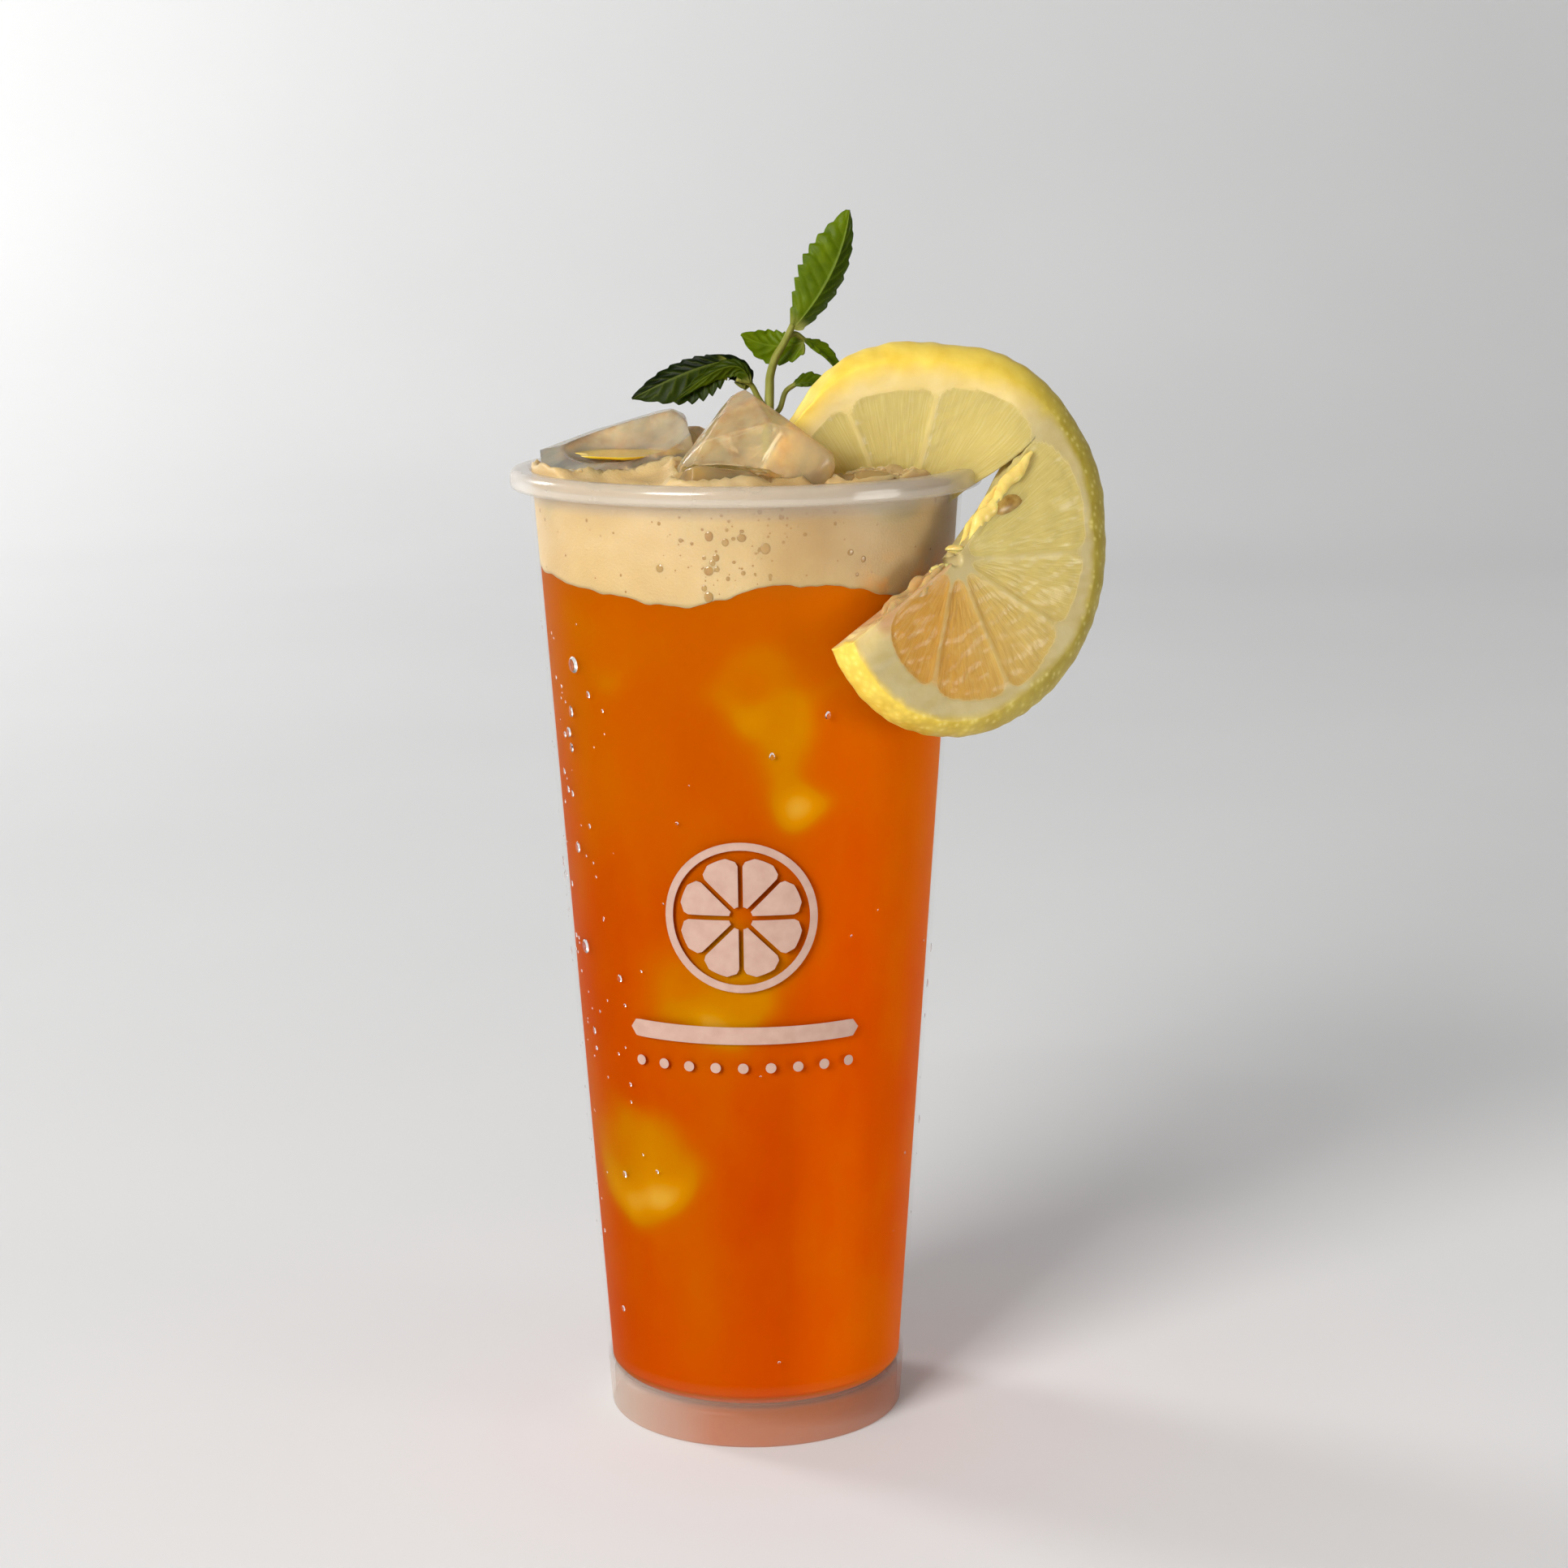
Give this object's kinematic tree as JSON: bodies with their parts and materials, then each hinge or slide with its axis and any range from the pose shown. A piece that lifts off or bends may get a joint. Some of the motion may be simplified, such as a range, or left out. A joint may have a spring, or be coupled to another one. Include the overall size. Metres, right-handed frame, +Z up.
{
  "type": "iced fruit tea in a takeaway cup",
  "caption": "Tall tapered clear takeaway cup of iced fruit tea with foam, ice, a lemon slice hooked over the rim and a mint sprig; stands on its foot.",
  "frame": {"origin": "on the surface the cup stands on, under the middle of the whole drink's box; the cup's own axis is 11.67 mm to the -X side", "axes": "+Z up along the cup's axis; the lemon slice hangs on the rim toward +X and -Y; the front is the -Y side"},
  "size_m": [0.1134, 0.09, 0.2351],
  "materials": {
    "cup": "clear to slightly milky moulded plastic, wet with condensation",
    "tea": "deep orange tea, hazy, lighter where ice is near the wall",
    "foam": "dense cream coloured froth with small brown bubbles",
    "ice": "wet half melted ice tinted warm beige by the tea",
    "lemon": "wet lemon, pitted yellow green rind, white pith, translucent flesh",
    "mint": "veined green leaf, paler below, waxy sheen"
  },
  "bodies": {
    "root": {"cup": "cup", "tea": "tea", "foam": "foam", "lemon_slice": "lemon", "mint_sprig": "mint", "ice_cube_01": "ice", "ice_cube_02": "ice", "ice_cube_03": "ice", "ice_cube_04": "ice", "ice_cube_05": "ice", "ice_cube_06": "ice", "ice_cube_07": "ice", "ice_cube_08": "ice", "ice_cube_09": "ice", "ice_cube_10": "ice", "ice_cube_11": "ice", "ice_cube_12": "ice", "ice_cube_13": "ice", "ice_cube_14": "ice", "ice_cube_15": "ice"}
  },
  "joints": []
}
